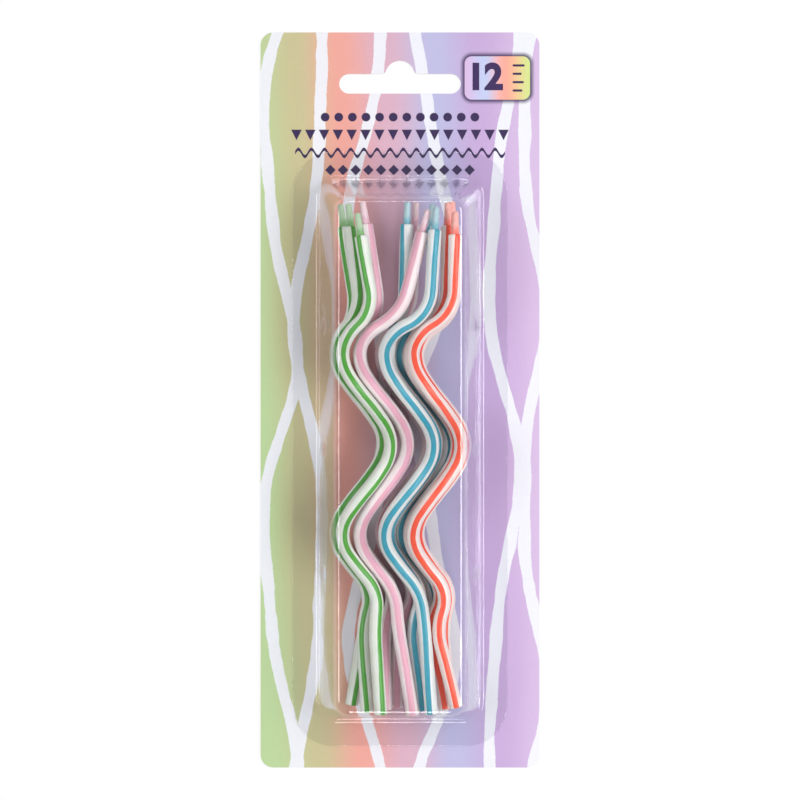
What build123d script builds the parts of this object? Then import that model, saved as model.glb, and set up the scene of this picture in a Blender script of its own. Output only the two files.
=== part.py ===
from build123d import *
import math
import os

# A hang card with twelve spiral birthday candles in a clear blister.
# The pack lies on its back: X runs across the card, Y up the card towards the hang slot and Z out
# of the printed front. The origin is the middle of the card's back face. Sizes are in millimetres.

# Spiral candle
candle_diameter = 3.4
spiral_radius = 6.1  # axis of the spiral to the middle of the wax
spiral_pitch = 46.0
quarter_turns = 5
foot_rise = 35.7  # from the foot up to the first quarter point
foot_straight = 18.0  # straight run above the foot
head_rise = 34.4  # from the last quarter point up to the shoulder
head_straight = 18.2  # straight run below the shoulder
shoulder_round = 0.5
gap_steps = 80  # points for measuring a candle's gap to itself

# Braided wick with a waxed tip
wick_width = 1.1  # across the round braid
wick_clearance = 0.04
tip_diameter = 2.0
tip_length = 5.8
tip_taper = 2.0  # degrees
tip_round = 0.5

# Nest of candles in the pocket
nest_gap = 0.15  # left between candles that lie turn in turn
card_gap = 0.25  # under the lowest candles
pocket_clearance = 0.35  # round the nest
slide_play = 1.5  # free travel of the nest towards the slot

# Clear blister
sheet = 0.35
side_draft = 11.5  # degrees
foot_draft = 10.5
head_draft = 17.0
base_corner = 5.0
front_corner = 4.0
front_round = 2.0
foot_bend = 0.8  # where the walls turn out into the flange
flange_width = 6.6
flange_corner = 11.0
lug_radius = 2.6  # round lugs that keep stacked blisters apart
lug_sink = 1.5  # the lugs' centres behind the wall
lug_height = 9.5
lug_spacing = 32.0
lug_count = 3

# Hang card
card_thickness = 0.5
card_corner = 3.4
side_margin = 15.0  # pocket to card edge
foot_margin = 12.3
head_margin = 38.0
slot_width = 32.0
slot_band = 5.2
slot_rise = 8.7
hump_width = 7.8
hump_round = 1.2
slot_drop = 16.1  # card's top edge down to the slot's lower edge

# Each candle: colour, number, seat across and in depth, where its straight foot and head start and
# end sideways from the seat and how far its head lies out of its layer, all in steps of the nest's
# spacing, and then how much shorter than the longest candle it is cut at foot and head.
candles = [
    ("green", 1, (-1.84, 0.00), (0.50, 0.79), (0.19, -0.45, 0.00), (0.6, 4.5)),
    ("green", 2, (-2.25, -0.95), (0.20, 0.40), (-0.06, -0.50, 0.00), (0.6, 1.9)),
    ("green", 3, (-2.02, -1.95), (-0.15, -0.80), (-0.58, -1.16, 0.00), (1.8, 1.5)),
    ("pink", 1, (-0.91, -0.42), (0.97, 1.63), (1.32, 2.33, 0.00), (0.0, 3.4)),
    ("pink", 2, (-0.88, -1.44), (0.02, 0.08), (-0.41, -1.03, 0.00), (0.9, 1.0)),
    ("pink", 3, (0.28, -1.97), (-0.35, -0.49), (0.36, 0.56, 0.00), (1.1, 1.0)),
    ("blue", 1, (0.48, 0.00), (0.97, 1.29), (1.23, 1.47, 0.00), (0.7, 3.0)),
    ("blue", 2, (0.70, -1.00), (0.10, 0.56), (-0.43, -0.31, -0.22), (0.9, 1.2)),
    ("blue", 3, (1.30, -1.86), (0.30, 0.40), (0.50, 0.49, 0.00), (0.9, 1.5)),
    ("orange", 1, (2.04, 0.00), (0.25, 1.25), (0.92, 0.98, 0.00), (2.4, 4.2)),
    ("orange", 2, (1.85, -1.00), (-0.05, 0.75), (0.73, 0.77, 0.00), (1.4, 1.6)),
    ("orange", 3, (2.32, -1.92), (0.20, 0.50), (0.70, 0.60, 0.00), (0.9, 0.8)),
]

# Sizes that follow
candle_radius = candle_diameter / 2
spiral_reach = spiral_radius + candle_radius
rise_per_radian = spiral_pitch / (2 * math.pi)
slope = math.atan2(spiral_radius, rise_per_radian)
nest_step = (candle_diameter + nest_gap) / math.cos(slope)
spiral_height = quarter_turns * spiral_pitch / 4
wax_height = foot_rise + spiral_height + head_rise
deepest_seat = -min(seat[1] for _, _, seat, *_ in candles) * nest_step
front_axis = card_thickness + card_gap + spiral_reach + deepest_seat
pocket_depth = front_axis + spiral_reach + pocket_clearance + sheet - card_thickness


def tangent_of(degrees):
    return math.tan(math.radians(degrees))


def wall_of(draft):
    """Width that a slanted wall of the sheet takes across the card."""
    return sheet / math.cos(math.radians(draft))


def wall_reach(middle, radius, height):
    """Half the pocket's base that keeps the side wall clear of a round of wax at this height."""
    off_wall = (radius + pocket_clearance + sheet) / math.cos(math.radians(side_draft))
    return abs(middle) + off_wall + height * tangent_of(side_draft)


def candle_rounds(seat, foot, head):
    """Middle, radius and height over the card of a candle's spiral, foot and head."""
    axis, height = seat[0] * nest_step, front_axis + seat[1] * nest_step - card_thickness
    return [
        (axis, spiral_reach, height),
        (axis + foot[1] * nest_step, candle_radius, height - spiral_radius),
        (axis + head[1] * nest_step, candle_radius, height + spiral_radius + head[2] * nest_step),
    ]


def end_room(middle, radius, height, draft):
    """How far a slanted end wall and its rounded corner stand in over a candle's end."""
    half = pocket_half - height * tangent_of(side_draft) - wall_of(side_draft)
    corner = base_corner + (front_corner - base_corner) * height / pocket_depth - sheet
    inside = max(0, abs(middle) + radius - half + corner)
    corner_rise = corner - math.sqrt(corner**2 - inside**2)
    return (height + radius) * tangent_of(draft) + wall_of(draft) + corner_rise


# The feet stand on the lower wall and the tips stay the free travel short of the upper one.
rounds = [candle_rounds(*places) for _, _, *places, _ in candles]
cuts = [cut for *_, cut in candles]
pocket_half = max(wall_reach(*place) for row in rounds for place in row)
foot_room = max(end_room(*row[1], foot_draft) - cut[0] for row, cut in zip(rounds, cuts))
head_room = max(end_room(*row[2], head_draft) - cut[1] for row, cut in zip(rounds, cuts))
nest_length = wax_height + tip_length + slide_play + 2 * pocket_clearance
pocket_length = foot_room + nest_length + head_room

card_width = 2 * (pocket_half + side_margin)
card_height = foot_margin + pocket_length + head_margin
pocket_foot = foot_margin - card_height / 2
pocket_head = pocket_foot + pocket_length
pocket_middle = pocket_foot + pocket_length / 2
foot_level = pocket_foot + foot_room + pocket_clearance
front_plane = Plane.XY.offset(card_thickness)


def spiral_point(seat, quarter):
    """Point of the spiral after so many quarter turns, and the way the candle runs there."""
    angle = quarter * math.pi / 2
    across, depth = (step * nest_step for step in seat)
    height = foot_level + foot_rise + (quarter - 1) * spiral_pitch / 4
    point = Vector(
        across + spiral_radius * math.cos(angle),
        height,
        front_axis + depth - spiral_radius * math.sin(angle),
    )
    run = Vector(
        -spiral_radius * math.sin(angle), rise_per_radian, -spiral_radius * math.cos(angle)
    )
    return point, run.normalized()


def biarc(start, start_run, end, end_run):
    """Two tangent arcs from one point and direction to another."""
    chord = end - start
    along = chord.dot(start_run + end_run)
    bend = 2 * (1 - start_run.dot(end_run))
    if bend < 1e-9:
        reach = chord.dot(chord) / (2 * along)
    else:
        reach = (math.sqrt(along**2 + bend * chord.dot(chord)) - along) / bend
    joint = (start + start_run * reach + end - end_run * reach) * 0.5
    first = TangentArc(start, joint, tangent=start_run)
    TangentArc(joint, end, tangent=first % 1)


def candle_path(seat, foot, head, cut):
    """Middle line of a candle: straight foot, spiral of biarcs, straight head, cut to length."""
    axis = seat[0] * nest_step
    stations = [spiral_point(seat, quarter) for quarter in range(1, quarter_turns + 2)]
    layer = front_axis + seat[1] * nest_step
    foot_out = layer - spiral_radius
    head_out = layer + spiral_radius + head[2] * nest_step
    foot_start, foot_end = (axis + step * nest_step for step in foot)
    head_start, head_end = (axis + step * nest_step for step in head[:2])
    foot_point = Vector(foot_end, foot_level, foot_out)
    foot_top = Vector(foot_start, foot_level + foot_straight, foot_out)
    shoulder = Vector(head_end, foot_level + wax_height, head_out)
    head_foot = Vector(head_start, foot_level + wax_height - head_straight, head_out)
    stations.insert(0, (foot_top, (foot_top - foot_point).normalized()))
    stations.append((head_foot, (shoulder - head_foot).normalized()))
    with BuildLine() as path:
        Line(foot_point + (foot_top - foot_point) * (cut[0] / foot_straight), foot_top)
        for (start, start_run), (end, end_run) in zip(stations, stations[1:]):
            biarc(start, start_run, end, end_run)
        Line(head_foot, shoulder + (head_foot - shoulder) * (cut[1] / head_straight))
    return path.wire()


def least_gap(path):
    """Least gap between stretches of a candle half a turn or more apart, measured on points."""
    points = [path @ (step / gap_steps) for step in range(gap_steps + 1)]
    apart = math.ceil(gap_steps * spiral_pitch / 2 / path.length)
    spans = [
        (far - near).length
        for place, near in enumerate(points)
        for far in points[place + apart :]
    ]
    return min(spans) - candle_diameter


def end_plane(path, place):
    """Plane square to the candle at its foot (0) or shoulder (1)."""
    return Plane(origin=path @ place, x_dir=(0, 0, 1), z_dir=path % place)


def make_wax(path):
    with BuildPart() as wax:
        with BuildSketch(end_plane(path, 0)):
            Circle(candle_radius)
            Circle(wick_width / 2 + wick_clearance, mode=Mode.SUBTRACT)
        sweep(path=path)
        top_face = wax.faces().sort_by(Axis.Y)[-1]
        fillet(top_face.outer_wire().edges(), shoulder_round)
    return wax


def make_wick(path):
    with BuildPart() as wick:
        with BuildSketch(end_plane(path, 0)):
            Circle(wick_width / 2)
        sweep(path=path)
        with BuildSketch(end_plane(path, 1)):
            Circle(tip_diameter / 2)
        extrude(amount=tip_length, taper=tip_taper)
        tip_face = wick.faces().sort_by(Axis.Y)[-1]
        fillet(tip_face.edges(), tip_round)
    return wick


def pocket(inset, depth, base_radius, top_radius, edge_round):
    """The pocket as a solid block: a drafted, rounded tray standing on the card's front.

    An inset of 1 leaves out one sheet thickness all round and gives the hollow.
    """
    with BuildPart() as block:
        for height, corner in ((0, base_radius), (depth, top_radius)):
            half = pocket_half - height * tangent_of(side_draft) - inset * wall_of(side_draft)
            low = pocket_foot + height * tangent_of(foot_draft) + inset * wall_of(foot_draft)
            high = pocket_head - height * tangent_of(head_draft) - inset * wall_of(head_draft)
            with BuildSketch(front_plane.offset(height)):
                with Locations((0, (low + high) / 2)):
                    RectangleRounded(2 * half, high - low, corner)
        loft(ruled=True)
        fillet(block.faces().sort_by(Axis.Z)[-1].edges(), edge_round)
    return block


band_middle = card_height / 2 - slot_drop + slot_band / 2
hump_lift = slot_rise - slot_band / 2 - hump_width / 2
with BuildSketch() as slot:
    with Locations((0, band_middle)):
        SlotOverall(slot_width, slot_band)
    with Locations((0, band_middle + hump_lift)):
        Circle(hump_width / 2)
    with Locations((0, band_middle + hump_lift / 2)):
        Rectangle(hump_width, hump_lift)
    hump_foot = slot.vertices().sort_by_distance((0, band_middle + slot_band / 2))[:2]
    fillet(hump_foot, hump_round)

with BuildPart() as card:
    with BuildSketch():
        RectangleRounded(card_width, card_height, card_corner)
        add(slot.sketch, mode=Mode.SUBTRACT)
    extrude(amount=card_thickness)
card.part.label = "card"

outer_pocket = pocket(0, pocket_depth, base_corner, front_corner, front_round)
hollow = pocket(
    1, pocket_depth - sheet, base_corner - sheet, front_corner - sheet, front_round - sheet
)
lug_across = pocket_half - lug_height * tangent_of(side_draft) - lug_sink
lug_places = [
    (side * lug_across, pocket_middle + (row - (lug_count - 1) / 2) * lug_spacing)
    for side in (-1, 1)
    for row in range(lug_count)
]
lug_plane = front_plane.offset(lug_height)
with BuildPart() as blister:
    with BuildSketch(front_plane):
        with Locations((0, pocket_middle)):
            RectangleRounded(
                2 * (pocket_half + flange_width), pocket_length + 2 * flange_width, flange_corner
            )
    extrude(amount=sheet)
    add(outer_pocket.part)
    flange_top = blister.faces().filter_by(Plane.XY).sort_by(Axis.Z)[1]
    fillet(flange_top.inner_wires()[0].edges(), foot_bend)
    with Locations(*(lug_plane.from_local_coords(place) for place in lug_places)):
        Sphere(lug_radius)
    add(hollow.part, mode=Mode.SUBTRACT)
    with Locations(*(lug_plane.from_local_coords(place) for place in lug_places)):
        Sphere(lug_radius - sheet, mode=Mode.SUBTRACT)
    flange_under = blister.faces().filter_by(Plane.XY).sort_by(Axis.Z)[0]
    fillet(flange_under.inner_wires()[0].edges(), foot_bend + sheet)
blister.part.label = "blister"

os.makedirs("parts", exist_ok=True)
for piece in (card, blister):
    export_step(piece.part, f"parts/{piece.part.label}.step")
for colour, number, *places in candles:
    path = candle_path(*places)
    wax, wick = make_wax(path), make_wick(path)
    wax.part.label = f"{colour}_candle_{number}_wax"
    wick.part.label = f"{colour}_candle_{number}_wick"
    for piece in (wax, wick):
        export_step(piece.part, f"parts/{piece.part.label}.step")
    tightest = min(edge.radius for edge in path.edges().filter_by(GeomType.CIRCLE))
    print(f"{colour} {number}: {path.length:.1f} mm long, tightest bend {tightest:.1f} mm, ", end="")
    print(f"least gap to itself {least_gap(path):.1f} mm")
print(f"card {card_width:.1f} x {card_height:.1f} mm, ", end="")
print(f"pocket {2 * pocket_half:.1f} x {pocket_length:.1f} x {pocket_depth:.1f} mm")
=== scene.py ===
# %% [markdown]
# # A hang card of spiral birthday candles
#
# The object is a shop pack: a printed card with a hang slot, a clear formed blister sealed to it, and
# a nest of thin spiral candles, white wax with a coloured stripe, lying loose in the blister. The
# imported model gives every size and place. This script adds the looks around it: striped wax, braided
# wicks, a clear sheet with soft bends, and the print on the card.

import math

import bpy
import numpy as np
from mathutils import Matrix, Vector


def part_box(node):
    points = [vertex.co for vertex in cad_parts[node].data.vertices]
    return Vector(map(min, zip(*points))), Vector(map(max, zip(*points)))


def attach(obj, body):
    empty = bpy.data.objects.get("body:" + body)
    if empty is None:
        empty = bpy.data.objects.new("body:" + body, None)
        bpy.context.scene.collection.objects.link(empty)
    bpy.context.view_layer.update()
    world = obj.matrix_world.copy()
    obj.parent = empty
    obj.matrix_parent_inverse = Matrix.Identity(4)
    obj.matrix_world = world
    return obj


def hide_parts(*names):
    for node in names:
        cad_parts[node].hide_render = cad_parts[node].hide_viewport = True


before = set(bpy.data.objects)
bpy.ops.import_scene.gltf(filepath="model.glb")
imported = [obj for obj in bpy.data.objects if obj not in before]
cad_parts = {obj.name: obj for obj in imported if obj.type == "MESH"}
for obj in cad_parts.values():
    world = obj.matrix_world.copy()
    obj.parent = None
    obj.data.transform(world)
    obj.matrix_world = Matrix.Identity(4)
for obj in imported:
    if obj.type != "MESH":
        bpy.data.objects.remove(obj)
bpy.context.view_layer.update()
MM = 0.001

# %% [markdown]
# ## Shader maths
#
# A finish is mostly arithmetic on a place: how far a point is from the middle of a stripe, or whether
# it lies in a printed band. Wiring Math nodes by hand hides that arithmetic, so one small class wraps
# a socket and lets it be added, multiplied and compared like a number. One method adds every other
# kind of node.


# %% The wire class
class Wire:
    """An output socket in a node tree, on which Python arithmetic adds Math nodes."""

    def __init__(self, tree, socket=None):
        self.tree, self.socket = tree, socket

    def node(self, kind, settings=None, inputs=None, out=0):
        """Add a node: its settings first, then a plain value or a wire for each input."""
        made = self.tree.nodes.new(f"ShaderNode{kind}")
        for key, value in (settings or {}).items():
            if key == "stops":
                self.fill_ramp(made.color_ramp, value)
            else:
                setattr(made, key, value)
        for key, value in (inputs or {}).items():
            if isinstance(value, Wire):
                self.tree.links.new(value.socket, made.inputs[key])
            else:
                made.inputs[key].default_value = value
        return Wire(self.tree, made.outputs[out] if made.outputs else None)

    @staticmethod
    def fill_ramp(ramp, stops):
        """Give a colour ramp these stops, each a place and a colour, with soft steps between."""
        ramp.interpolation = "EASE"
        while len(ramp.elements) < len(stops):
            ramp.elements.new(1.0)
        for element, (place, colour) in zip(ramp.elements, stops):
            element.position, element.color = place, colour

    def out(self, name):
        """Another output of the same node."""
        return Wire(self.tree, self.socket.node.outputs[name])

    def math(self, operation, first, second=0.0):
        """One Math node on one or two values."""
        return self.node("Math", {"operation": operation}, {0: first, 1: second})

    def __add__(self, other):
        return self.math("ADD", self, other)

    def __sub__(self, other):
        return self.math("SUBTRACT", self, other)

    def __rsub__(self, other):
        return self.math("SUBTRACT", other, self)

    def __mul__(self, other):
        return self.math("MULTIPLY", self, other)

    def __truediv__(self, other):
        return self.math("DIVIDE", self, other)

    def __pow__(self, other):
        return self.math("POWER", self, other)

    def __abs__(self):
        return self.math("ABSOLUTE", self)

    __radd__, __rmul__ = __add__, __mul__

    def sine(self):
        return self.math("SINE", self)

    def most(self, other):
        """The larger of two values, which joins two masks or two distances."""
        return self.math("MAXIMUM", self, other)

    def ramp(self, low, high):
        """0 at low, 1 at high, with a smooth step between."""
        inputs = {"Value": self, "From Min": low, "From Max": high}
        return self.node("MapRange", {"interpolation_type": "SMOOTHSTEP"}, inputs)

    def inside(self, limit, soft):
        """1 where the value is under the limit, 0 over it, with a soft edge."""
        return self.ramp(limit + soft, limit - soft)

    def repeat(self, pitch):
        """The distance from the middle of the value's cell, in a row of cells of this pitch."""
        return self.math("PINGPONG", self - pitch / 2, pitch / 2)

    def mix(self, first, second):
        """The first colour where this mask is 0 and the second where it is 1."""
        return self.node("Mix", {"data_type": "RGBA"}, {0: self, 6: first, 7: second}, 2)


# %% Starting and ending a material
def ink(red, green, blue):
    """A colour from its screen values, 0 to 255, as the linear light that shaders take."""
    screen = np.array([red, green, blue]) / 255
    light = np.where(screen > 0.04045, ((screen + 0.055) / 1.055) ** 2.4, screen / 12.92)
    return (*light.tolist(), 1.0)


def new_material(name):
    """A material with an empty node tree, and a wire from which its maths starts."""
    material = bpy.data.materials.new(name)
    material.use_nodes = True
    material.node_tree.nodes.clear()
    return material, Wire(material.node_tree)


def object_place(start):
    """The place on the piece: the vector in metres, and X, Y and Z in millimetres."""
    place = start.node("TexCoord", out="Object")
    split = start.node("SeparateXYZ", None, {0: place})
    return place, *(split.out(axis) / MM for axis in "XYZ")


def noise(place, scale, detail=2.0):
    """Noise around 0, from about -0.5 to 0.5, with this many waves a metre."""
    return place.node("TexNoise", None, {"Vector": place, "Scale": scale, "Detail": detail}) - 0.5


def bump(height, depth):
    """A normal from a height, of which a step of 1 stands for this depth in millimetres."""
    return height.node("Bump", None, {"Height": height, "Strength": 1.0, "Distance": depth * MM})


def set_surface(start, shader):
    """End the material: this shader is its surface."""
    start.node("OutputMaterial", None, {"Surface": shader})


print("an ink of 128 on the screen is", round(ink(128, 128, 128)[0], 3), "as light")


# %% [markdown]
# ## Meshes from arrays
#
# Every new piece is a grid of points: rows of rings along a candle, or rows of outlines up the wall
# of the blister. One function numbers the faces of such a grid, and one puts the points into a mesh
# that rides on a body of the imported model.


# %% Grids and pieces
def grid_faces(rows, columns, first=0, close_rows=False):
    """Four-sided faces of a grid whose columns run round in a ring, and its rows too if closed."""
    row = np.arange(rows if close_rows else rows - 1)[:, None]
    column = np.arange(columns)[None]
    next_row, next_column = (row + 1) % rows, (column + 1) % columns
    corners = [(row, column), (row, next_column), (next_row, next_column), (next_row, column)]
    index = [first + across * columns + around for across, around in corners]
    return np.stack(np.broadcast_arrays(*index), axis=-1).reshape(-1, 4).tolist()


def add_piece(name, points, faces, material, body):
    """A smooth mesh from points in millimetres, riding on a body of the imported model."""
    mesh = bpy.data.meshes.new(name)
    mesh.from_pydata((np.asarray(points).reshape(-1, 3) * MM).tolist(), [], faces)
    mesh.polygons.foreach_set("use_smooth", np.ones(len(mesh.polygons), bool))
    mesh.materials.append(material)
    piece = bpy.data.objects.new(name, mesh)
    bpy.context.scene.collection.objects.link(piece)
    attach(piece, body)
    return piece


def add_attribute(piece, name, values):
    """One number for each point, which a material reads by this name."""
    attribute = piece.data.attributes.new(name, "FLOAT", "POINT")
    attribute.data.foreach_set("value", np.ascontiguousarray(values, np.float32).ravel())


print("a grid of 3 rings of 4 points has", len(grid_faces(3, 4)), "faces")


# %% [markdown]
# ## The line of a candle
#
# A candle is a rod that was wound while warm: a straight foot, a turn and a half, a straight head.
# The solid model runs it over pairs of arcs that meet with one direction, so this script takes the
# same route. An arc needs no centre: from its start, its first direction and its end, every point on
# it follows from the angle between that direction and the chord.

# %% Sizes of the nest, in millimetres
candle_radius = 1.7
spiral_radius = 6.1
spiral_pitch = 46.0
quarter_turns = 5
foot_rise, foot_straight = 35.7, 18.0
head_rise, head_straight = 34.4, 18.2
nest_gap = 0.15
rise_per_radian = spiral_pitch / (2 * math.pi)
slope = math.atan2(spiral_radius, rise_per_radian)
nest_step = (2 * candle_radius + nest_gap) / math.cos(slope)
wax_height = foot_rise + quarter_turns * spiral_pitch / 4 + head_rise
FRONT = np.array([0.0, 0.0, 1.0])
print(f"wax stands {wax_height:.1f} mm high before its ends are cut, nest step {nest_step:.2f} mm")

# Each candle: seat across and in depth, straight foot and head sideways from the seat and the head's
# shift out of its layer, all in steps of the nest, and what is cut off at foot and head.
candles = {
    "green_candle_1": ((-1.84, 0.00), (0.50, 0.79), (0.19, -0.45, 0.00), (0.6, 4.5)),
    "green_candle_2": ((-2.25, -0.95), (0.20, 0.40), (-0.06, -0.50, 0.00), (0.6, 1.9)),
    "green_candle_3": ((-2.02, -1.95), (-0.15, -0.80), (-0.58, -1.16, 0.00), (1.8, 1.5)),
    "pink_candle_1": ((-0.91, -0.42), (0.97, 1.63), (1.32, 2.33, 0.00), (0.0, 3.4)),
    "pink_candle_2": ((-0.88, -1.44), (0.02, 0.08), (-0.41, -1.03, 0.00), (0.9, 1.0)),
    "pink_candle_3": ((0.28, -1.97), (-0.35, -0.49), (0.36, 0.56, 0.00), (1.1, 1.0)),
    "blue_candle_1": ((0.48, 0.00), (0.97, 1.29), (1.23, 1.47, 0.00), (0.7, 3.0)),
    "blue_candle_2": ((0.70, -1.00), (0.10, 0.56), (-0.43, -0.31, -0.22), (0.9, 1.2)),
    "blue_candle_3": ((1.30, -1.86), (0.30, 0.40), (0.50, 0.49, 0.00), (0.9, 1.5)),
    "orange_candle_1": ((2.04, 0.00), (0.25, 1.25), (0.92, 0.98, 0.00), (2.4, 4.2)),
    "orange_candle_2": ((1.85, -1.00), (-0.05, 0.75), (0.73, 0.77, 0.00), (1.4, 1.6)),
    "orange_candle_3": ((2.32, -1.92), (0.20, 0.50), (0.70, 0.60, 0.00), (0.9, 0.8)),
}

# How far each candle's stripe is turned from the front, in degrees, at its foot, middle and head.
stripe_turns = {
    "green_candle_1": (30, 28, -20),
    "green_candle_2": (-4, -22, 24),
    "green_candle_3": (30, 0, -34),
    "pink_candle_1": (0, 34, -40),
    "pink_candle_2": (0, 15, 35),
    "pink_candle_3": (10, -10, 0),
    "blue_candle_1": (-8, 4, 26),
    "blue_candle_2": (-5, 40, -58),
    "blue_candle_3": (10, 28, -35),
    "orange_candle_1": (0, -6, 16),
    "orange_candle_2": (0, -15, 2),
    "orange_candle_3": (0, 20, 0),
}


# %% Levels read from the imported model
def node_box(node):
    """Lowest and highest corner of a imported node, in millimetres."""
    return [np.array(corner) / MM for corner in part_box(node)]


full_foot = candles["pink_candle_1"][1]
foot_tilt = math.atan2((full_foot[1] - full_foot[0]) * nest_step, foot_straight)
foot_level = node_box("pink_candle_1_wax")[0][1] + candle_radius * math.sin(foot_tilt)
front_axis = node_box("green_candle_1_wax")[1][2] - candle_radius - spiral_radius
print(f"feet at {foot_level:.2f} mm, axis of the front layer at {front_axis:.2f} mm")


# %% Arcs and pairs of arcs
least_turn = 1e-6  # radians, under which an arc is a straight line


def unit(vector):
    """Each vector divided by its length."""
    return vector / np.linalg.norm(vector, axis=-1, keepdims=True)


def arc(start, run, end, count):
    """Points and directions of the arc that leaves start along run and reaches end.

    With h the angle between run and the chord, the point at share s is at
    start + chord length * sin(h s) / sin(h) * (run * cos(h s) + side * sin(h s)).
    """
    chord = end - start
    span = np.linalg.norm(chord)
    half = math.acos(np.clip(run @ chord / span, -1, 1))
    even = np.linspace(0, 1, count + 1)[:, None]
    turn = half * even
    bent = half > least_turn
    side = unit(chord - run * (run @ chord)) if bent else np.zeros(3)
    share = np.sin(turn) / math.sin(half) if bent else even
    points = start + span * share * (run * np.cos(turn) + side * np.sin(turn))
    return points, run * np.cos(2 * turn) + side * np.sin(2 * turn)


def arc_pair(start, start_run, end, end_run, count):
    """Two arcs that meet with one direction, at the point that gives both the same reach.

    The reach r is the length of both end tangents: with c the chord, s and e the directions,
    r solves r * r * 2 * (1 - s.e) + 2 * r * c.(s + e) = c.c, and the arcs meet midway between the
    tangents' tips.
    """
    chord = end - start
    along = chord @ (start_run + end_run)
    bend = 2 * (1 - start_run @ end_run)
    reach = (math.sqrt(along**2 + bend * chord @ chord) - along) / bend
    joint = (start + start_run * reach + end - end_run * reach) / 2
    first_points, first_runs = arc(start, start_run, joint, count)
    second_points, second_runs = arc(joint, first_runs[-1], end, count)
    points = np.vstack([first_points[:-1], second_points[:-1]])
    return points, np.vstack([first_runs[:-1], second_runs[:-1]])


quarter_points, _ = arc(np.zeros(3), np.array([0.0, 1.0, 0.0]), np.array([1.0, 1.0, 0.0]), 2)
print("a quarter circle from (0, 0) to (1, 1) passes", quarter_points[1, :2].round(3))


# %% The whole line
arc_steps = 13
end_steps = 22


def spiral_stations(seat):
    """Points and directions at each quarter turn of a seat's spiral.

    At angle a the point is (seat + radius * cos(a), rise, layer - radius * sin(a)).
    """
    angle = np.arange(1, quarter_turns + 2) * math.pi / 2
    rise = foot_level + foot_rise + np.arange(quarter_turns + 1) * spiral_pitch / 4
    across, depth = np.array(seat) * nest_step
    cosine, sine = np.cos(angle), np.sin(angle)
    points = np.stack(
        [across + spiral_radius * cosine, rise, front_axis + depth - spiral_radius * sine], axis=1
    )
    runs = [-spiral_radius * sine, np.full_like(rise, rise_per_radian), -spiral_radius * cosine]
    return points, unit(np.stack(runs, axis=1))


def candle_line(seat, foot, head, cut):
    """Points, directions and lengths along a candle, from its foot to its shoulder."""
    points, runs = spiral_stations(seat)
    axis, layer = np.array(seat) * nest_step + [0, front_axis]
    ends_across = axis + np.array([foot[1], foot[0], head[0], head[1]]) * nest_step
    top = foot_level + wax_height
    ends_up = [foot_level, foot_level + foot_straight, top - head_straight, top]
    foot_out, head_out = layer - spiral_radius, layer + spiral_radius + head[2] * nest_step
    ends_out = [foot_out, foot_out, head_out, head_out]
    foot_end, foot_top, head_foot, head_end = np.stack([ends_across, ends_up, ends_out], axis=1)
    foot_run, head_run = unit(foot_top - foot_end), unit(head_end - head_foot)
    foot_end = foot_end + (foot_top - foot_end) * cut[0] / foot_straight
    head_end = head_end + (head_foot - head_end) * cut[1] / head_straight
    points = np.vstack([foot_top, points, head_foot])
    runs = np.vstack([foot_run, runs, head_run])
    turns = [
        arc_pair(points[place], runs[place], points[place + 1], runs[place + 1], arc_steps)
        for place in range(len(points) - 1)
    ]
    foot_line, foot_runs = arc(foot_end, foot_run, foot_top, end_steps)
    head_line, head_runs = arc(head_foot, head_run, head_end, end_steps)
    line = np.vstack([foot_line[:-1], *(turn[0] for turn in turns), head_line])
    line_runs = np.vstack([foot_runs[:-1], *(turn[1] for turn in turns), head_runs])
    steps = np.linalg.norm(np.diff(line, axis=0), axis=1)
    return line, line_runs, np.concatenate([[0.0], np.cumsum(steps)])


first_line, first_runs, first_lengths = candle_line(*candles["green_candle_1"])
print(f"the first candle's line has {len(first_line)} points on {first_lengths[-1]:.1f} mm")


# %% Rings along a line
def carry_rings(line, runs, station, shift, radius, columns):
    """Rings round a line: each at a station, shifted along the line, of its own radius.

    A ring point is middle + radius * (cos(a) * facing + sin(a) * side), where facing is the front
    made square to the line and a runs once round from the back.
    """
    run = runs[station]
    middle = line[station] + run * np.asarray(shift)[:, None]
    facing = unit(FRONT - run * (run @ FRONT)[:, None])
    side = np.cross(run, facing)
    angle = np.arange(columns) * 2 * math.pi / columns - math.pi
    round_part = np.cos(angle)[None, :, None] * facing[:, None]
    round_part = round_part + np.sin(angle)[None, :, None] * side[:, None]
    radius = np.broadcast_to(np.asarray(radius), (len(station), columns))
    return middle[:, None] + radius[..., None] * round_part, angle


ring, _ = carry_rings(first_line, first_runs, np.array([0]), [0.0], candle_radius, 4)
print("the first ring's front is at", ring[0, 2].round(2), "mm")

# %% [markdown]
# ## Wax with stripes
#
# The wax of each candle is white, with a coloured stripe along the front and a narrower one along the
# back. On the real candle the stripes are extruded with the rod, so they follow it round every bend.
# A picture map could do it, but a distance is sharper: each point of the mesh stores how far it lies
# from the middle of either stripe, and the material only asks whether that is less than half a
# stripe. The rod ends in a soft shoulder above and a plain cut below, and it is hollow for the wick.

# %% Wax surface
wax_columns = 40
bore_radius = 0.59
bore_every = 12  # the bore is hidden, so it has a ring at every twelfth station only
shoulder = 0.5
foot_soft, foot_middle = 0.25, 0.07  # rounding of the cut below, and its middle
sway_degrees = 9.0


def wax_rows(last):
    """Station, shift and radius of each ring: up the outside, over the shoulder, down the bore."""
    under = [
        (0, 0.0, bore_radius),
        (0, 0.0, candle_radius - foot_soft),
        (0, foot_middle, candle_radius - foot_middle),
        (0, foot_soft, candle_radius),
    ]
    outside = [(place, 0.0, candle_radius) for place in range(1, last)]
    over = [
        (last, shoulder * (math.sin(turn) - 1), candle_radius - shoulder * (1 - math.cos(turn)))
        for turn in np.radians([0, 30, 60, 90])
    ]
    bore = [(place, 0.0, bore_radius) for place in range(last, 0, -bore_every)]
    return [np.array(column) for column in zip(*under, *outside, *over, *bore)]


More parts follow.
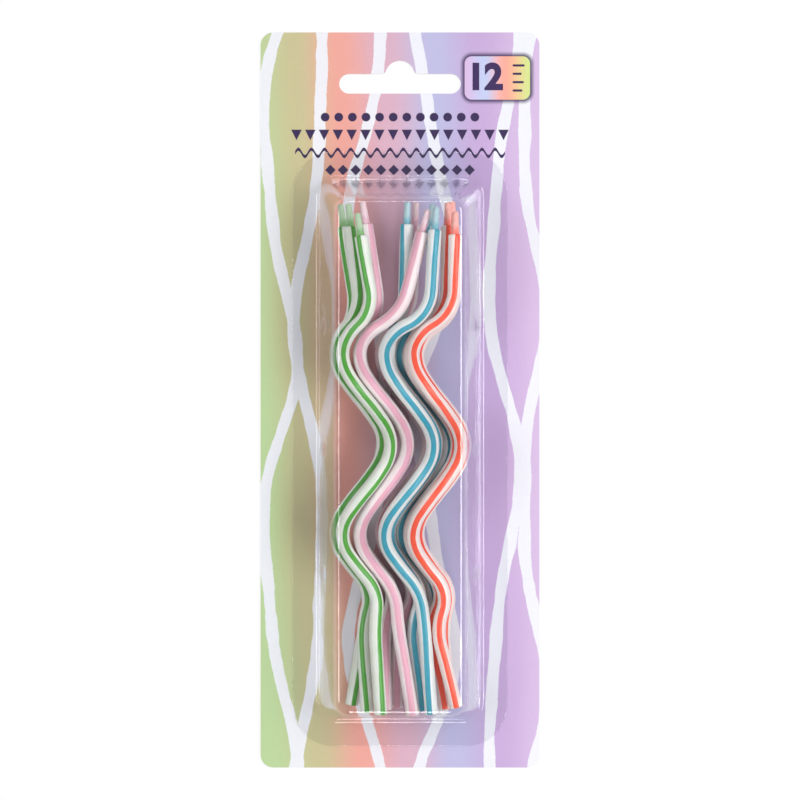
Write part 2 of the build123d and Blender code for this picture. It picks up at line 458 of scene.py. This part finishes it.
def stripe_distances(angle, length, turns):
    """Millimetres round the rod from the middle of the front stripe and of the back stripe.

    A stripe's middle is turned by its candle's turns, read along the rod, and sways as it winds. The
    distance is the angle from there, wrapped into a half turn, times the radius.
    """
    turn = np.interp(length, np.linspace(0, length.max(), len(turns)), turns)
    sway = sway_degrees * np.sin(2 * math.pi * length / spiral_pitch + turns[0])
    off = angle[None] - np.radians(turn + sway)[:, None]
    wrap = np.abs(np.arctan2(np.sin(off), np.cos(off))) * candle_radius
    return wrap, math.pi * candle_radius - wrap


def make_wax(name, line, runs, length, material):
    """The wax: rings carried along the line, closed from the bore's top to the foot."""
    station, shift, radius = wax_rows(len(line) - 1)
    points, angle = carry_rings(line, runs, station, shift, radius[:, None], wax_columns)
    faces = grid_faces(len(station), wax_columns, close_rows=True)
    piece = add_piece(f"{name}_striped_wax", points, faces, material, "candles")
    front_off, back_off = stripe_distances(angle, length[station] + shift, stripe_turns[name])
    add_attribute(piece, "front_off", front_off)
    add_attribute(piece, "back_off", back_off)
    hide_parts(f"{name}_wax")
    return piece


print("rings of wax on the first candle:", len(wax_rows(len(first_line) - 1)[0]))

# %% [markdown]
# ## Wicks
#
# A braided cotton wick runs through each candle, and its free end is dipped in thin tinted
# wax. Only that tip and a dot at the foot show. The tip is a rod whose radius rises and falls round
# it as four strands that wind slowly upwards, which is what a waxed braid looks like close up.

# %% Wick surface
wick_columns = 32
wick_radius = 0.55
hidden_every = 4  # in the bore the wick has a ring at every fourth station only
tip_length, tip_radius = 5.8, 1.0
tip_taper = math.radians(2.0)
tip_start = 0.02  # the tip starts a hair over the wax
tip_rows, round_rows = 44, 7
end_round = 0.5
strands = 4
strand_pitch = 7.0
strand_depth, strand_fullness = 0.13, 0.7


def tip_profile():
    """Height over the shoulder and radius up the tip, ending in a round edge."""
    rise = np.linspace(tip_start, tip_length - end_round, tip_rows)
    radius = tip_radius - rise * math.tan(tip_taper)
    turn = np.linspace(0, math.pi / 2, round_rows)[1:]
    last = radius[-1]
    rise = np.concatenate([rise, rise[-1] + end_round * np.sin(turn)])
    return rise, np.concatenate([radius, last - end_round * (1 - np.cos(turn))])


def make_wick(name, line, runs, material):
    """The wick: a thin rod through the bore, and a tip whose radius has a lobe for each strand.

    With t the angle less a share of a turn for the height, the tip's radius is its profile times
    1 - depth * (1 - |cos(strands / 2 * t)| ** fullness).
    """
    last = len(line) - 1
    hidden = np.append(np.arange(0, last, hidden_every), last)
    rise, radius = tip_profile()
    station = np.concatenate([hidden, np.full(len(rise), last)])
    shift = np.concatenate([np.zeros(len(hidden)), rise])
    angle = np.arange(wick_columns) * 2 * math.pi / wick_columns - math.pi
    twist = strands / 2 * (angle[None] - 2 * math.pi * rise[:, None] / strand_pitch)
    lobes = 1 - strand_depth * (1 - np.abs(np.cos(twist)) ** strand_fullness)
    hidden_part = np.full((len(hidden), wick_columns), wick_radius)
    rings = np.vstack([hidden_part, radius[:, None] * lobes])
    points, _ = carry_rings(line, runs, station, shift, rings, wick_columns)
    faces = grid_faces(len(station), wick_columns)
    faces.append(list(range(wick_columns))[::-1])
    faces.append(list(range((len(station) - 1) * wick_columns, len(station) * wick_columns)))
    piece = add_piece(f"{name}_braided_wick", points, faces, material, "candles")
    add_attribute(piece, "tip_height", np.repeat(shift, wick_columns))
    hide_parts(f"{name}_wick")


print(f"a wick's tip stands {tip_profile()[0][-1]:.2f} mm over the wax")


# %% [markdown]
# ## The finish of wax and wick
#
# Wax lets light in a little way, so its shadows are soft and pale: a small subsurface share does
# that. Its skin is satin and never quite even. The stripe's edge wanders by a few hundredths of a
# millimetre, as extruded colour does, and both the stripe and the white, which takes up a little
# dye, are stronger in some places than in others. Sizes of patterns are in waves a metre.

# %% Wax material
wax_white = ink(240, 238, 235)
stripe_inks = {
    "green": ink(60, 160, 4),
    "pink": ink(226, 166, 186),
    "blue": ink(0, 156, 180),
    "orange": ink(255, 74, 26),
}
# The most dye that the white wax of each colour takes up, as a share.
wax_tints = {"green": 0.30, "pink": 0.55, "blue": 0.28, "orange": 0.30}
stripe_halves = {"green": 0.64, "pink": 0.84, "blue": 0.72, "orange": 0.72}
back_share = 0.8  # the back stripe's width as a share of the front one's
stripe_soft, stripe_wander = 0.05, 0.16  # millimetres
stripe_fade = 0.10  # the most white in a stripe, as a share
wander_waves, cloud_waves, dye_waves, skin_waves = 420.0, 160.0, 260.0, 2600.0
wax_depth, skin_depth = 1.2, 0.012  # how far light goes in, and how deep the skin's grain is


def blend_inks(first, second, share):
    """The first colour with this share of the second."""
    return tuple((1 - share) * one + share * other for one, other in zip(first, second))


def wax_material(colour):
    """White wax with a stripe where the distance to its middle is under half its width."""
    material, start = new_material(f"{colour}_striped_wax")
    place, *_ = object_place(start)
    wander = noise(place, wander_waves) * stripe_wander
    front = start.node("Attribute", {"attribute_name": "front_off"}, out="Fac") + wander
    back = start.node("Attribute", {"attribute_name": "back_off"}, out="Fac") + wander
    half = stripe_halves[colour]
    stripe = front.inside(half, stripe_soft).most(back.inside(back_share * half, stripe_soft))
    tinted = blend_inks(wax_white, stripe_inks[colour], wax_tints[colour])
    white = (noise(place, cloud_waves, 3.0) + 0.5).mix(tinted, wax_white)
    pale = blend_inks(stripe_inks[colour], wax_white, stripe_fade)
    dye = (noise(place, dye_waves, 3.0) + 0.5).mix(stripe_inks[colour], pale)
    skin = noise(place, skin_waves, 3.0)
    inputs = {
        "Base Color": stripe.mix(white, dye),
        "Roughness": skin * 0.16 + 0.40,
        "Normal": bump(skin, skin_depth),
        "Subsurface Weight": 0.6,
        "Subsurface Radius": (1.0, 0.85, 0.7),
        "Subsurface Scale": wax_depth * MM,
        "Coat Weight": 0.12,
        "Coat Roughness": 0.25,
    }
    set_surface(start, start.node("BsdfPrincipled", None, inputs))
    return material


wax_materials = {colour: wax_material(colour) for colour in stripe_inks}
print("wax materials:", ", ".join(wax_materials))

# %% Wick material
tint_white, tip_white = 0.22, 0.48  # share of white in the dip at the tip's foot, and higher up
soak_height, soak_ragged = 3.2, 0.7
fibre_waves, fibre_depth = 1900.0, 0.05
wick_depth = 0.5


def wick_material(colour):
    """Cotton dipped in tinted wax: strong at the tip's foot, paler higher up, with a ragged border."""
    material, start = new_material(f"{colour}_waxed_wick")
    place, *_ = object_place(start)
    height = start.node("Attribute", {"attribute_name": "tip_height"}, out="Fac")
    tint = blend_inks(stripe_inks[colour], wax_white, tint_white)
    pale = blend_inks(stripe_inks[colour], wax_white, tip_white)
    fibre = noise(place, fibre_waves, 4.0)
    soak = (height.ramp(0.0, soak_height) + fibre * soak_ragged).ramp(0.1, 0.9)
    inputs = {
        "Base Color": soak.mix(tint, pale),
        "Roughness": fibre * 0.3 + 0.45,
        "Normal": bump(fibre, fibre_depth),
        "Subsurface Weight": 0.2,
        "Subsurface Radius": (1.0, 0.8, 0.6),
        "Subsurface Scale": wick_depth * MM,
    }
    set_surface(start, start.node("BsdfPrincipled", None, inputs))
    return material


wick_materials = {colour: wick_material(colour) for colour in stripe_inks}
print("wick materials:", ", ".join(wick_materials))

# %% All the candles
for name, route in candles.items():
    colour = name.split("_")[0]
    line, runs, length = candle_line(*route)
    wax = make_wax(name, line, runs, length, wax_materials[colour])
    make_wick(name, line, runs, wick_materials[colour])
    made = np.array([corner[:] for corner in wax.bound_box]) / MM
    cad_low, cad_high = node_box(f"{name}_wax")
    off = np.abs([made.min(0) - cad_low, made.max(0) - cad_high]).max()
    print(f"{name}: {length[-1]:.1f} mm of wax, off the solid's box by {off:.2f} mm")

# %% [markdown]
# ## The blister
#
# The blister is one clear sheet, drawn over a mould while hot: a flange that lies on the card, walls
# that lean in so that it leaves the mould, and a flat front with a soft edge. It is built as rows of
# rounded rectangles, from the flange's rim up the wall to the front, once for the outer skin and once
# for the inner one. In every row a point is worked out from its place round the outline, so corners
# and bends come from the same few lines. Small round lugs on the walls are spheres that push the
# wall out where they stand proud of it.

# %% Sizes of the blister, in millimetres
sheet = 0.35
wall_drafts = np.radians([11.5, 10.5, 17.0])  # sides, foot, head
base_corner, front_corner = 5.0, 4.0
flange_bend, front_round = 0.8, 2.0
flange_width, flange_corner = 6.6, 11.0
lug_radius, lug_sink, lug_height, lug_spacing = 2.6, 1.5, 9.5, 32.0
flange_inner, rim_step = 2.5, 0.2  # rows across the flange
face_steps = (0.8, 3.0)  # rows across the front
wall_low, wall_high = 3.0, 21.0  # rows up the wall
lug_reach = 2.7  # rows are close together this far above and below a lug
least_corner = 0.6  # no row's corners are tighter than this
off_card = 0.03  # keeps the flange's underside from lying in the card's own surface
blister_low, blister_high = node_box("blister")
card_front = blister_low[2]
pocket_depth = blister_high[2] - card_front
pocket_half = blister_high[0] - flange_width
pocket_foot, pocket_head = blister_low[1] + flange_width, blister_high[1] - flange_width
lug_across = pocket_half - lug_height * math.tan(wall_drafts[0]) - lug_sink
lug_rows = (pocket_foot + pocket_head) / 2 + lug_spacing * np.array([-1, 0, 1])
print(f"pocket {2 * pocket_half:.1f} x {pocket_head - pocket_foot:.1f} x {pocket_depth:.1f} mm")


# %% Columns round the outline
side_count, end_count, corner_count = 36, 14, 15
lug_count, bend_count, wall_count = 19, 9, 7


def outline_columns():
    """Each column's share across and up the straight runs, and its outward direction.

    A rounded rectangle's point is corner centre + corner radius * direction. On a straight run the
    direction stands still and the share runs from one corner to the next.
    """
    low, high = pocket_foot + base_corner, pocket_head - base_corner
    near_lugs = (lug_rows[:, None] + np.linspace(-lug_radius, lug_radius, lug_count)).ravel()
    up = np.unique(np.concatenate([np.linspace(low, high, side_count)[1:-1], near_lugs]))
    up = (up - low) / (high - low)
    across = np.linspace(1, -1, end_count)[1:-1]
    quarter = np.linspace(0, math.pi / 2, corner_count)
    ones_up, ones_across, ones_corner = np.ones_like(up), np.ones_like(across), np.ones_like(quarter)

    def corner(share_across, share_up, turn):
        """A quarter circle that starts at this turn."""
        angle = quarter + turn
        return share_across * ones_corner, share_up * ones_corner, np.cos(angle), np.sin(angle)

    runs = [
        (ones_up, up, ones_up, 0 * up),
        corner(1, 1, 0),
        (across, ones_across, 0 * across, ones_across),
        corner(-1, 1, math.pi / 2),
        (-ones_up, up[::-1], -ones_up, 0 * up),
        corner(-1, 0, math.pi),
        (across[::-1], 0 * across, 0 * across, -ones_across),
        corner(1, 0, 1.5 * math.pi),
    ]
    return [np.concatenate(column) for column in zip(*runs)]


columns = outline_columns()
print("points round the blister's outline:", len(columns[0]))


# %% Rows up the wall
def skin_rows(skin):
    """Outward offset and height of each row for the three drafts, and its corner radius.

    The skin is 0 outside and 1 inside. The bend and the front edge are arcs tangent to the leaning
    wall: the bend turns from the flange by a quarter less the draft, and the edge by the same angle.
    """
    tangent, cosine, sine = np.tan(wall_drafts), np.cos(wall_drafts), np.sin(wall_drafts)
    set_in = skin * sheet / cosine
    bend, edge = flange_bend + skin * sheet, front_round - skin * sheet
    level, depth = (1 - skin) * sheet + skin * off_card, pocket_depth - skin * sheet
    share = np.linspace(0, 1, bend_count)[:, None]
    turn = share * (math.pi / 2 - wall_drafts)
    bend_across = bend * (1 - sine) / cosine - level * tangent - set_in - bend * np.sin(turn)
    bend_up = level + bend * (1 - np.cos(turn))
    turn = wall_drafts + share * (math.pi / 2 - wall_drafts)
    edge_middle = depth - edge
    edge_across = edge * np.cos(turn) - edge_middle * tangent - set_in - edge / cosine
    edge_up = edge_middle + edge * np.sin(turn)
    near_lugs = lug_height + np.linspace(-lug_reach, lug_reach, lug_count)
    wall_up = np.unique(np.concatenate([np.linspace(wall_low, wall_high, wall_count), near_lugs]))
    wall_up = np.repeat(wall_up[:, None], 3, axis=1)
    wall_across = -wall_up * tangent - set_in
    rim_across = np.repeat([[flange_width], [flange_width - rim_step], [flange_inner]], 3, axis=1)
    face_across = edge_across[-1] - np.array(face_steps)[:, None]
    across = np.vstack([rim_across, bend_across, wall_across, edge_across, face_across])
    up = np.vstack([np.full((3, 3), level), bend_up, wall_up, edge_up, np.full((2, 3), depth)])
    lean = across - (-up * tangent - set_in)
    corner = base_corner + (front_corner - base_corner) * up / pocket_depth - skin * sheet + lean
    corner = np.maximum(corner.mean(axis=1), least_corner)
    corner[:2] = flange_corner
    return across, up, corner


def skin_points(columns, skin):
    """Points of a skin: rows of rounded rectangles, pushed out by the lugs.

    A lug is a sphere, so near it the wall reaches to lug middle + sqrt(r * r - dy * dy - dz * dz).
    """
    share_across, share_up, out_x, out_y = columns
    across, up, corner = (part[:, None] for part in skin_rows(skin))
    across, up = across[:, 0], up[:, 0]
    half = pocket_half + across[:, :1]
    low, high = pocket_foot - across[:, 1:2], pocket_head + across[:, 2:]
    x = share_across * (half - corner) + corner * out_x
    y = (low + corner) * (1 - share_up) + (high - corner) * share_up + corner * out_y
    weights = np.stack([out_x**2, out_y**2 * (out_y < 0), out_y**2 * (out_y > 0)])
    z = up @ weights
    reach = np.full_like(x, -1.0)
    for row in lug_rows:
        room = (lug_radius - skin * sheet) ** 2 - (y - row) ** 2 - (z - lug_height) ** 2
        reach = np.maximum(reach, np.where(room > 0, lug_across + np.sqrt(np.maximum(room, 0)), -1.0))
    x = np.where(np.abs(x) > lug_across, np.sign(x) * np.maximum(np.abs(x), reach), x)
    return np.stack([x, y, z + card_front], axis=-1)


outer, inner = skin_points(columns, 0), skin_points(columns, 1)
print(f"blister stands {outer[..., 2].max() - card_front:.2f} mm over the card")

# %% [markdown]
# ## Clear sheet
#
# A thin clear sheet bends hardly any light, so it needs no refraction: it lets most light straight
# through and mirrors the rest, more of it at a slant. The share that it mirrors follows the usual
# rule for plastics, 4 percent head-on and everything at a glance. A slow ripple in the surface breaks
# up the reflections as on a formed sheet.

# %% Blister material
mirrored_head_on = 0.04
clear_tint = (0.985, 0.987, 0.99, 1.0)
mirror_tint = (0.9, 0.91, 0.92, 1.0)
ripple_waves, fine_waves, fine_share = 70.0, 900.0, 0.05
ripple_depth = 0.05
scuff_waves = 350.0


def clear_material():
    """Clear sheet: light passes straight through, apart from the mirrored share."""
    material, start = new_material("clear_sheet")
    place, *_ = object_place(start)
    ripple = noise(place, ripple_waves, 1.0) + noise(place, fine_waves, 2.0) * fine_share
    slant = start.node("LayerWeight", None, {"Blend": 0.5}, "Facing")
    mirrored = slant**5 * (1 - mirrored_head_on) + mirrored_head_on
    clear = start.node("BsdfTransparent", None, {"Color": clear_tint})
    scuff = noise(place, scuff_waves, 4.0).ramp(0.1, 0.35)
    inputs = {
        "Base Color": mirror_tint,
        "Metallic": 1.0,
        "Roughness": scuff * 0.05 + 0.03,
        "Normal": bump(ripple, ripple_depth),
    }
    gloss = start.node("BsdfPrincipled", None, inputs)
    set_surface(start, start.node("MixShader", None, {0: mirrored, 1: clear, 2: gloss}))
    return material


clear_sheet = clear_material()
print("nodes in the clear sheet's material:", len(clear_sheet.node_tree.nodes))

# %% Blister piece
count, round_count = outer.shape[:2]
faces = grid_faces(count, round_count)
inner_faces = [face[::-1] for face in grid_faces(count, round_count, count * round_count)]
rim_outer, rim_inner = np.arange(round_count), np.arange(round_count) + count * round_count
rim = np.stack([rim_inner, np.roll(rim_inner, -1), np.roll(rim_outer, -1), rim_outer], axis=1)
outer_front = (np.arange(round_count) + (count - 1) * round_count).tolist()
inner_front = (np.arange(round_count) + (2 * count - 1) * round_count).tolist()
faces += inner_faces + rim.tolist() + [outer_front, inner_front[::-1]]
blister = add_piece(
    "formed_blister", np.concatenate([outer, inner]), faces, clear_sheet, "blister"
)
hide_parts("blister")
print("blister faces:", len(faces))

# %% [markdown]
# ## The printed card
#
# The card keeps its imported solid: a flat die-cut board. What it needs is its print, and a print is a
# function of the place on the card. The ground is a soft run of colours from green to lilac, over it
# run white wavy bands, and above the pocket stand rows of plain party ornament and a badge. The edges
# and the back show the bare board.

# %% Ground colours and wavy bands
card_low, card_high = node_box("card")
ground_stops = [
    (0.00, ink(176, 200, 146)),
    (0.15, ink(190, 182, 138)),
    (0.31, ink(226, 156, 144)),
    (0.48, ink(206, 164, 182)),
    (0.66, ink(178, 176, 212)),
    (0.82, ink(186, 158, 202)),
    (1.00, ink(202, 176, 212)),
]
band_white = ink(226, 227, 234)
band_half, band_cover = 1.55, 0.94
print_soft = 0.08  # millimetres over which printed edges fade
# Each band: place across, sway, height of a full wave and its start as a share of a wave.
bands = [
    (-32.0, 4.2, 108.0, 0.12),
    (-23.5, 3.6, 124.0, 0.58),
    (-8.0, 4.6, 112.0, 0.30),
    (9.0, 5.0, 104.0, 0.84),
    (27.0, 3.8, 118.0, 0.44),
    (35.0, 3.0, 98.0, 0.02),
]
drift_waves, rag_waves, fray_waves = 14.0, 120.0, 1500.0
print("wavy bands on the card:", len(bands))


def print_ground(start, place, x, y):
    """Colours that run across the card and drift with height, crossed by white bands.

    A band's middle is at place + sway * sin(wave) + a quarter sway at twice the wave, and the band is
    where the distance from it, made ragged by noise, is under half a band.
    """
    drift = noise(place, drift_waves, 1.0) * 0.14 + (y / 60).sine() * 0.03
    across = (x - card_low[0]) / (card_high[0] - card_low[0]) + drift
    ground = start.node("ValToRGB", {"stops": ground_stops}, {0: across})
    ragged = noise(place, rag_waves, 2.0) * 1.3 + noise(place, fray_waves, 3.0) * 0.3
    white = None
    for middle, sway, wave, phase in bands:
        bend = (y * (2 * math.pi / wave) + 2 * math.pi * phase).sine() * sway
        flick = (y * (4 * math.pi / wave) + 1.3 + middle).sine() * (0.25 * sway)
        band = (abs(x - middle - bend - flick) + ragged).inside(band_half, print_soft)
        white = band if white is None else white.most(band)
    return (white * band_cover).mix(ground, band_white)


# %% Party ornament
deep_purple = ink(40, 14, 72)
dot_radius, diamond_half = 1.15, 1.4
pennant_half, pennant_lean = 1.4, 0.5
wave_rise, wave_half = 0.95, 0.45
row_soft = 0.02
# Each row: height on the card, half its length, its motif and the pitch at which it repeats.
ornament_rows = [
    (74.4, 21.5, "dot", 3.58),
    (69.7, 29.0, "pennant", 3.63),
    (65.0, 27.6, "wave", 3.45),
    (60.5, 20.0, "diamond", 3.33),
]
print("rows of ornament:", [row[2] for row in ornament_rows])


def ornament(x, y):
    """Rows of dots, pennants, a wave and diamonds, each repeated at the pitch of its row."""
    mask = None
    for height, half_length, motif, pitch in ornament_rows:
        cell, rise = x.repeat(pitch), y - height
        if motif == "dot":
            shape = ((cell * cell + rise * rise) ** 0.5).inside(dot_radius, print_soft)
        elif motif == "pennant":
            beside = cell - (rise + pennant_half) * pennant_lean
            shape = beside.most(abs(rise) - pennant_half).inside(0.0, print_soft)
        elif motif == "wave":
            crest = (x * (2 * math.pi / pitch)).sine() * wave_rise
            shape = abs(rise - crest).inside(wave_half, print_soft)
        else:
            shape = (cell + abs(rise)).inside(diamond_half, print_soft)
        row = shape * abs(x).inside(half_length, row_soft)
        mask = row if mask is None else mask.most(row)
    return mask


# %% Badge
badge_middle, badge_half, badge_corner = (25.6, 84.7), (8.6, 5.7), 1.9
badge_soft = 0.06
badge_stops = [
    (0.0, ink(206, 176, 214)),
    (0.3, ink(184, 192, 226)),
    (0.62, ink(244, 160, 142)),
    (1.0, ink(202, 214, 132)),
]
# Each line: its middle across and up the card, and half its length.
badge_lines = [(31.2, 88.0, 1.3), (30.8, 85.8, 0.9), (31.1, 83.6, 1.2), (30.9, 81.4, 1.0)]
line_half = 0.3
print("badge of", 2 * badge_half[0], "x", 2 * badge_half[1], "mm")


def badge_distance(x, y):
    """Distance from the badge's edge, less than 0 inside: that of a rectangle with round corners."""
    beside = (abs(x - badge_middle[0]) - (badge_half[0] - badge_corner)).most(0.0)
    above = (abs(y - badge_middle[1]) - (badge_half[1] - badge_corner)).most(0.0)
    return (beside * beside + above * above) ** 0.5 - badge_corner


def badge_colours(start, x):
    """The badge's own run of colours, from lilac over blue and coral to yellow-green."""
    across = (x - (badge_middle[0] - badge_half[0])) / (2 * badge_half[0])
    return start.node("ValToRGB", {"stops": badge_stops}, {0: across})


def badge_marks(x, y):
    """Short plain lines at the badge's right: each a place and half a length, round at both ends."""
    mask = None
    for across, height, half in badge_lines:
        beside = (abs(x - across) - half).most(0.0)
        above = y - height
        line = ((beside * beside + above * above) ** 0.5).inside(line_half, badge_soft)
        mask = line if mask is None else mask.most(line)
    return mask


# %% Card material
board_white, board_grey = ink(226, 222, 214), ink(214, 209, 200)
glow_width, glow_cover = 1.5, 0.92
speck_waves, grain_waves, pulp_waves = 3400.0, 900.0, 500.0
grain_depth = 0.02
print_depth = 0.06, 0.02  # millimetres under the front face between which the print ends


def card_material():
    """Printed board: the layers of print from the ground up, and bare board behind and on the edges."""
    material, start = new_material("printed_board")
    place, x, y, z = object_place(start)
    colour = print_ground(start, place, x, y)
    colour = ornament(x, y).mix(colour, deep_purple)
    edge = badge_distance(x, y)
    colour = (edge.ramp(glow_width, 0.0) * glow_cover).mix(colour, deep_purple)
    colour = edge.inside(0.0, badge_soft).mix(colour, badge_colours(start, x))
    colour = badge_marks(x, y).mix(colour, deep_purple)
    speck = noise(place, speck_waves, 2.0)
    grain = noise(place, grain_waves, 3.0)
    tone = (speck * 0.9 + grain * 0.6).ramp(-0.6, 0.6)
    shade = tone.mix((0.93, 0.93, 0.93, 1.0), (1.0, 1.0, 1.0, 1.0))
    multiply = {"data_type": "RGBA", "blend_type": "MULTIPLY"}
    worn = start.node("Mix", multiply, {0: 1.0, 6: colour, 7: shade}, 2)
    pulp = (noise(place, pulp_waves, 5.0) + 0.5).mix(board_grey, board_white)
    front = z.ramp(card_high[2] - print_depth[0], card_high[2] - print_depth[1])
    inputs = {
        "Base Color": front.mix(pulp, worn),
        "Roughness": front * -0.28 + 0.72 + speck * 0.1,
        "Normal": bump(grain + speck * 0.5, grain_depth),
        "Coat Weight": front * 0.18,
        "Coat Roughness": 0.3,
    }
    set_surface(start, start.node("BsdfPrincipled", None, inputs))
    return material


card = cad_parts["card"]
card.data.materials.clear()
card.data.materials.append(card_material())
print("nodes in the card's material:", len(card.data.materials[0].node_tree.nodes))

# %% [markdown]
# ## The number on the badge
#
# A plain number tells how many candles the pack holds. It is a thin layer of ink: a text object made
# into a mesh, thickened by a hair and laid on the badge.

# %% Badge number
number_height, stroke_growth = 9.4, 0.42
number_shift = 3.3  # left of the badge's middle, which leaves room for the lines
ink_layer = 0.02
ink_waves = 700.0
worn_purple = ink(50, 22, 84)


def add_number(text, middle):
    """Text as a mesh, centred on a place of the card, in a dark ink."""
    letters = bpy.data.curves.new("badge_number", "FONT")
    letters.body, letters.size, letters.offset = text, number_height * MM, stroke_growth * MM
    letters.align_x, letters.align_y = "CENTER", "CENTER"
    letters.extrude = ink_layer / 2 * MM
    holder = bpy.data.objects.new("badge_number_text", letters)
    bpy.context.scene.collection.objects.link(holder)
    mesh = bpy.data.meshes.new_from_object(holder.evaluated_get(bpy.context.evaluated_depsgraph_get()))
    bpy.data.objects.remove(holder)
    mesh.transform(Matrix.Translation(Vector((*middle, card_high[2] + ink_layer / 2)) * MM))
    material, start = new_material("number_ink")
    place, *_ = object_place(start)
    tone = (noise(place, ink_waves, 3.0) + 0.5).mix(deep_purple, worn_purple)
    set_surface(start, start.node("BsdfPrincipled", None, {"Base Color": tone, "Roughness": 0.45}))
    mesh.materials.clear()
    mesh.materials.append(material)
    piece = bpy.data.objects.new("badge_number", mesh)
    bpy.context.scene.collection.objects.link(piece)
    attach(piece, "card")
    return piece


number = add_number(str(len(candles)), (badge_middle[0] - number_shift, badge_middle[1]))
print("faces of the number:", len(number.data.polygons))

# %% [markdown]
# ## Floor, light and camera
#
# The pack lies on its back on a white floor and the camera looks straight down on it, as in a shop
# picture. The floor shows white to the camera and to mirrors, and keeps a faint shadow. A large soft
# lamp stands at the right and smaller ones at the other sides, all far enough out that the flat front
# of the blister mirrors none of them, while its bends catch each as a bright line.


# %% Floor and world
floor_half = 1500.0
floor_drop = 0.06  # millimetres under the card's back
floor_glow = 0.8  # how much of the white that the camera sees isn't touched by shadow
floor_grey = (0.85, 0.85, 0.85, 1.0)
full_white = (1.0, 1.0, 1.0, 1.0)
room_tint = (0.97, 0.985, 1.0, 1.0)
world_light = 0.20


def seen_directly(start):
    """1 for rays from the camera or from a mirror or pane, 0 for light that bounces."""
    path = start.node("LightPath", out="Is Camera Ray")
    return path.most(path.out("Is Glossy Ray")).most(path.out("Is Transmission Ray"))


def add_floor():
    """One large square under the pack: matte for the light, mostly plain white for the camera."""
    corners = np.array([[-1, -1, 0], [1, -1, 0], [1, 1, 0], [-1, 1, 0]]) * floor_half
    mesh = bpy.data.meshes.new("floor")
    mesh.from_pydata(((corners - [0, 0, floor_drop]) * MM).tolist(), [], [[0, 1, 2, 3]])
    material, start = new_material("white_floor")
    matte = start.node("BsdfDiffuse", None, {"Color": floor_grey})
    bright = start.node("Emission", None, {"Color": full_white, "Strength": 1.0})
    seen = seen_directly(start) * floor_glow
    set_surface(start, start.node("MixShader", None, {0: seen, 1: matte, 2: bright}))
    mesh.materials.append(material)
    floor = bpy.data.objects.new("floor", mesh)
    bpy.context.scene.collection.objects.link(floor)


def set_world():
    """A room that is white to the camera and gives a little even light to all else."""
    world = bpy.data.worlds.new("white_room")
    bpy.context.scene.world = world
    world.use_nodes = True
    world.node_tree.nodes.clear()
    start = Wire(world.node_tree)
    camera = start.node("LightPath", out="Is Camera Ray")
    room = start.node("Background", None, {"Color": room_tint, "Strength": world_light})
    backdrop = start.node("Background", None, {"Color": full_white, "Strength": 1.0})
    mixed = start.node("MixShader", None, {0: camera, 1: room, 2: backdrop})
    start.node("OutputWorld", None, {"Surface": mixed})


add_floor()
set_world()
print("floor", 2 * floor_half * MM, "m wide, even light of", world_light)


# %% Lamps
# Each lamp: place, length and width in millimetres, and power in watts.
lamps = {
    "left_lamp": ((-400, -10, 540), (380, 150), 1.5),
    "right_lamp": ((400, -10, 540), (620, 240), 4.0),
    "head_lamp": ((0, 420, 520), (300, 60), 0.6),
    "foot_lamp": ((0, -440, 520), (120, 200), 0.7),
}


def add_lamp(name, place, size, power):
    """A soft lamp that faces the middle of the pack, with its length level."""
    lamp = bpy.data.lights.new(name, "AREA")
    lamp.shape, lamp.energy = "RECTANGLE", power
    lamp.size, lamp.size_y = (side * MM for side in size)
    holder = bpy.data.objects.new(name, lamp)
    holder.location = Vector(place) * MM
    holder.rotation_mode = "QUATERNION"
    holder.rotation_quaternion = (-holder.location).to_track_quat("-Z", "Y")
    bpy.context.scene.collection.objects.link(holder)


for name, settings in lamps.items():
    add_lamp(name, *settings)
print("lamps:", ", ".join(lamps))

# %% Camera
camera_distance = 560.0
view_width = 210.6
lens_sensor = 36.0


def add_camera():
    """A camera over the pack whose view is as wide as the picture at the card."""
    camera = bpy.data.cameras.new("camera")
    camera.sensor_width = lens_sensor
    camera.lens = lens_sensor * camera_distance / view_width
    camera.clip_start, camera.clip_end = 0.01, 20.0
    holder = bpy.data.objects.new("camera", camera)
    holder.location = (0.0, 0.0, camera_distance * MM)
    bpy.context.scene.collection.objects.link(holder)
    bpy.context.scene.camera = holder


add_camera()
bpy.context.scene.view_settings.view_transform = "Standard"
print(f"lens of {bpy.context.scene.camera.data.lens:.1f} mm")
